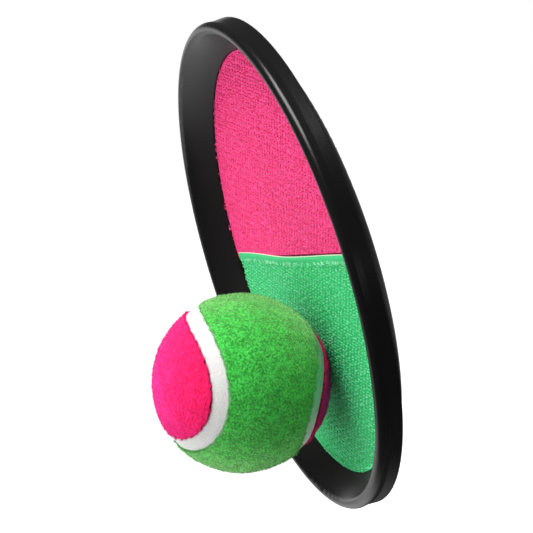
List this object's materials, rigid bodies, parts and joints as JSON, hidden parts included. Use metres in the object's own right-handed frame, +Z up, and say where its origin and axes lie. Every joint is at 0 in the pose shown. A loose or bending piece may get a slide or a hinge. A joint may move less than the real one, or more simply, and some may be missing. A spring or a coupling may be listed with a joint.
{
  "type": "hook and loop catch paddle",
  "caption": "Round shallow plastic dish faced with pink and green hook cloth, with a hook and loop hand strap on its back and a felt ball that sticks to its face.",
  "frame": {"origin": "on the dish's axis, at the back of its floor, where the palm lies", "axes": "+Z up along the hand strap towards the pink half, -Y out of the catch face, +X across the face"},
  "size_m": [0.1898, 0.0897, 0.1898],
  "materials": {
    "black_plastic": "satin moulded",
    "pad_foam": "closed cell foam",
    "pink_hook_cloth": "hook pile",
    "green_hook_cloth": "hook pile",
    "webbing": "woven",
    "hook_tape": "hook pile",
    "loop_tape": "loop pile",
    "core_rubber": "matt",
    "white_strip": "matt",
    "green_felt": "felt",
    "pink_felt": "felt"
  },
  "bodies": {
    "paddle": {"dish": "black_plastic", "face_pad": "pad_foam", "upper_cloth": "pink_hook_cloth", "lower_cloth": "green_hook_cloth"},
    "flap": {"strap_flap": "webbing", "hook_patch": "hook_tape"},
    "tab": {"strap_tab": "webbing", "loop_patch": "loop_tape"},
    "ball": {"core_cup_front": "core_rubber", "core_cup_rear": "core_rubber", "ball_seam": "white_strip", "ball_green_felt": "green_felt", "ball_pink_felt": "pink_felt"}
  },
  "joints": [
    {"name": "strap_open", "type": "hinge", "parent": "paddle", "child": "flap", "pos_m": [0, 0.00203, 0.058], "axis": [1, 0, 0], "range_deg": [0, 110]},
    {"name": "tab_fold", "type": "hinge", "parent": "paddle", "child": "tab", "pos_m": [0, 0.00203, -0.058], "axis": [1, 0, 0], "range_deg": [0, 9]},
    {"name": "ball_pull_off", "type": "slide", "parent": "paddle", "child": "ball", "axis": [0, -1, 0], "range_m": [0, 0.12]}
  ]
}
